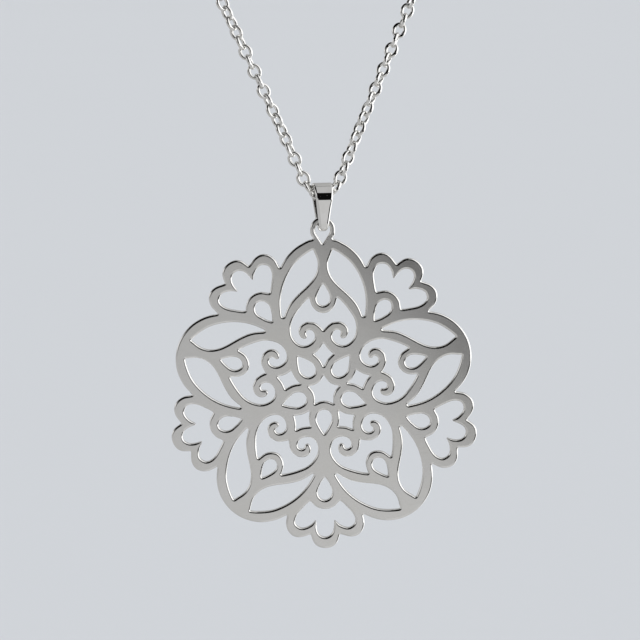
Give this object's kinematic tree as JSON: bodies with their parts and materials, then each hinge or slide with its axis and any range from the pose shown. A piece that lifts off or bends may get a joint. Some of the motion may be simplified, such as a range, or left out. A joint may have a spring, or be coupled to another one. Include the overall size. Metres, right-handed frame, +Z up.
{
  "type": "flower pendant necklace",
  "caption": "Openwork flower pendant of petals and buds on a tapered bail, hanging from a closed cable chain as worn round a neck.",
  "frame": {"origin": "middle of the nape, on the chain's line where the clasp rests and the necklace hangs from", "axes": "+Z up, the pendant hangs at -Y and its front faces -Y, +X to the right of someone looking at the front"},
  "size_m": [0.107, 0.0979, 0.1904],
  "materials": {
    "plate_silver": "polished silver, faintly satin on the flat faces",
    "bail_silver": "mirror-polished silver",
    "chain_silver": "polished silver",
    "clasp_silver": "polished silver"
  },
  "bodies": {
    "chain": {"neck_chain": "chain_silver", "clasp": "clasp_silver"},
    "bail": {"bail": "bail_silver"},
    "flower": {"flower_plate": "plate_silver"}
  },
  "joints": [
    {"name": "bail_swing", "type": "hinge", "parent": "chain", "child": "bail", "pos_m": [0, -0.09276, -0.13852], "axis": [1, 0, 0], "range_deg": [-80, 80]},
    {"name": "flower_swing", "type": "hinge", "parent": "bail", "child": "flower", "pos_m": [0, -0.09276, -0.1421], "axis": [1, 0, 0], "range_deg": [-60, 60]}
  ]
}
